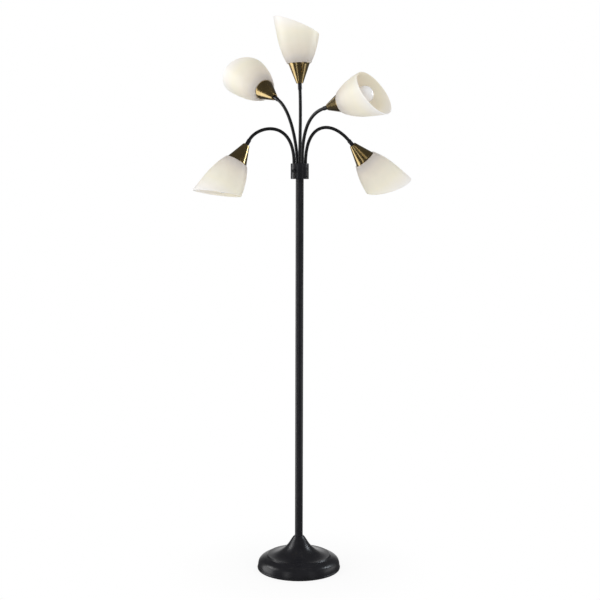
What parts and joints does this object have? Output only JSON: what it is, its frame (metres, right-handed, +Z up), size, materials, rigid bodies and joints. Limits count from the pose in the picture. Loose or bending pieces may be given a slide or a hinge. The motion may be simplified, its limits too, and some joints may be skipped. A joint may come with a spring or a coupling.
{
  "type": "floor lamp",
  "caption": "Tree floor lamp: weighted round base, slim black pole, and a hub whose flexible necks carry brass cones with slanted frosted white shades.",
  "frame": {"origin": "on the floor under the pole's axis, in the underside of the felt", "axes": "+Z up along the pole; the picture looks along +Y, with +X to its right"},
  "size_m": [0.6673, 0.5778, 1.7017],
  "materials": {
    "black_enamel": "satin black enamel",
    "neck_sleeve": "satin black sleeve over a steel gooseneck",
    "antique_brass": "antique brass plate, lacquered",
    "frosted_acrylic": "frosted white",
    "bulb_glass": "white coated",
    "phenolic": "moulded black",
    "black_knob_plastic": "moulded black",
    "zinc_steel": "zinc plated",
    "felt": "pressed felt",
    "cast_iron": "as cast",
    "rubber": "moulded",
    "wire_sheath": "flexible PVC"
  },
  "bodies": {
    "stand": {"base_cover": "black_enamel", "pole_lower": "black_enamel", "pole_middle": "black_enamel", "pole_upper": "black_enamel", "hub_body": "black_enamel", "hub_top_plate": "black_enamel", "switch_nut": "black_enamel", "base_felt": "felt", "base_weight": "cast_iron", "cord_grommet": "rubber", "base_washer": "zinc_steel", "base_nut": "zinc_steel", "base_nipple": "zinc_steel", "pole_coupler_lower": "zinc_steel", "pole_coupler_upper": "zinc_steel", "hub_set_screws": "zinc_steel", "neck_nuts": "zinc_steel", "pole_wire": "wire_sheath", "switch_body": "phenolic", "centre_neck_lower": "neck_sleeve"},
    "left_low_root": {"left_low_neck_lower": "neck_sleeve"},
    "left_low_middle": {"left_low_neck_upper": "neck_sleeve"},
    "left_low_head": {"left_low_ferrule": "black_enamel", "left_low_cone": "antique_brass", "left_low_lampholder": "phenolic", "left_low_shade_ring": "phenolic", "left_low_shade": "frosted_acrylic", "left_low_bulb": "bulb_glass"},
    "right_low_root": {"right_low_neck_lower": "neck_sleeve"},
    "right_low_middle": {"right_low_neck_upper": "neck_sleeve"},
    "right_low_head": {"right_low_ferrule": "black_enamel", "right_low_cone": "antique_brass", "right_low_lampholder": "phenolic", "right_low_shade_ring": "phenolic", "right_low_shade": "frosted_acrylic", "right_low_bulb": "bulb_glass"},
    "left_high_root": {"left_high_neck_lower": "neck_sleeve"},
    "left_high_middle": {"left_high_neck_upper": "neck_sleeve"},
    "left_high_head": {"left_high_ferrule": "black_enamel", "left_high_cone": "antique_brass", "left_high_lampholder": "phenolic", "left_high_shade_ring": "phenolic", "left_high_shade": "frosted_acrylic", "left_high_bulb": "bulb_glass"},
    "right_high_root": {"right_high_neck_lower": "neck_sleeve"},
    "right_high_middle": {"right_high_neck_upper": "neck_sleeve"},
    "right_high_head": {"right_high_ferrule": "black_enamel", "right_high_cone": "antique_brass", "right_high_lampholder": "phenolic", "right_high_shade_ring": "phenolic", "right_high_shade": "frosted_acrylic", "right_high_bulb": "bulb_glass"},
    "centre_middle": {"centre_neck_upper": "neck_sleeve"},
    "centre_head": {"centre_ferrule": "black_enamel", "centre_cone": "antique_brass", "centre_lampholder": "phenolic", "centre_shade_ring": "phenolic", "centre_shade": "frosted_acrylic", "centre_bulb": "bulb_glass"},
    "switch_knob": {"switch_knob": "black_knob_plastic"}
  },
  "joints": [
    {"name": "left_low_swing", "type": "hinge", "parent": "stand", "child": "left_low_root", "pos_m": [-0.0174, -0.00739, 1.263], "axis": [0, 0, 1], "range_deg": [-30, 30]},
    {"name": "left_low_bend_low", "type": "hinge", "parent": "left_low_root", "child": "left_low_middle", "pos_m": [-0.07473, -0.02004, 1.36483], "axis": [-0.2156, 0.9765, 0], "range_deg": [-15, 40], "deforming": ["left_low_neck_lower"]},
    {"name": "left_low_bend_high", "type": "hinge", "parent": "left_low_middle", "child": "left_low_head", "pos_m": [-0.13523, -0.03546, 1.34999], "axis": [-0.3939, 0.9191, 0], "range_deg": [-25, 40], "deforming": ["left_low_neck_upper"]},
    {"name": "right_low_swing", "type": "hinge", "parent": "stand", "child": "right_low_root", "pos_m": [0.0174, 0.00739, 1.263], "axis": [0, 0, 1], "range_deg": [-30, 30]},
    {"name": "right_low_bend_low", "type": "hinge", "parent": "right_low_root", "child": "right_low_middle", "pos_m": [0.06407, 0.02546, 1.37095], "axis": [0.3612, -0.9325, 0], "range_deg": [-15, 40], "deforming": ["right_low_neck_lower"]},
    {"name": "right_low_bend_high", "type": "hinge", "parent": "right_low_middle", "child": "right_low_head", "pos_m": [0.13363, 0.05021, 1.35287], "axis": [0.289, -0.9573, 0], "range_deg": [-25, 40], "deforming": ["right_low_neck_upper"]},
    {"name": "left_high_swing", "type": "hinge", "parent": "stand", "child": "left_high_root", "pos_m": [-0.00739, 0.0174, 1.263], "axis": [0, 0, 1], "range_deg": [-30, 30]},
    {"name": "left_high_bend_low", "type": "hinge", "parent": "left_high_root", "child": "left_high_middle", "pos_m": [-0.0214, 0.03044, 1.36564], "axis": [0.6813, 0.732, 0], "range_deg": [-40, 10], "deforming": ["left_high_neck_lower"]},
    {"name": "left_high_bend_high", "type": "hinge", "parent": "left_high_middle", "child": "left_high_head", "pos_m": [-0.05619, 0.07056, 1.4492], "axis": [0.7902, 0.6129, 0], "range_deg": [-40, 20], "deforming": ["left_high_neck_upper"]},
    {"name": "right_high_swing", "type": "hinge", "parent": "stand", "child": "right_high_root", "pos_m": [0.00739, -0.0174, 1.263], "axis": [0, 0, 1], "range_deg": [-30, 30]},
    {"name": "right_high_bend_low", "type": "hinge", "parent": "right_high_root", "child": "right_high_middle", "pos_m": [0.018, -0.0559, 1.36089], "axis": [-0.964, -0.2658, 0], "range_deg": [-40, 10], "deforming": ["right_high_neck_lower"]},
    {"name": "right_high_bend_high", "type": "hinge", "parent": "right_high_middle", "child": "right_high_head", "pos_m": [0.05277, -0.11435, 1.41108], "axis": [-0.673, -0.7396, 0], "range_deg": [-40, 20], "deforming": ["right_high_neck_upper"]},
    {"name": "centre_lean_side", "type": "hinge", "parent": "stand", "child": "centre_middle", "pos_m": [0.00131, 0.00004, 1.37423], "axis": [0, 1, 0], "range_deg": [-12, 12], "deforming": ["centre_neck_lower"]},
    {"name": "centre_nod", "type": "hinge", "parent": "centre_middle", "child": "centre_head", "pos_m": [0.00103, 0.00004, 1.46048], "axis": [1, 0, 0], "range_deg": [-15, 15], "deforming": ["centre_neck_upper"]},
    {"name": "switch_turn", "type": "hinge", "parent": "stand", "child": "switch_knob", "pos_m": [-0.01468, -0.02349, 1.24], "axis": [-0.5299, -0.848, 0], "continuous": true}
  ]
}
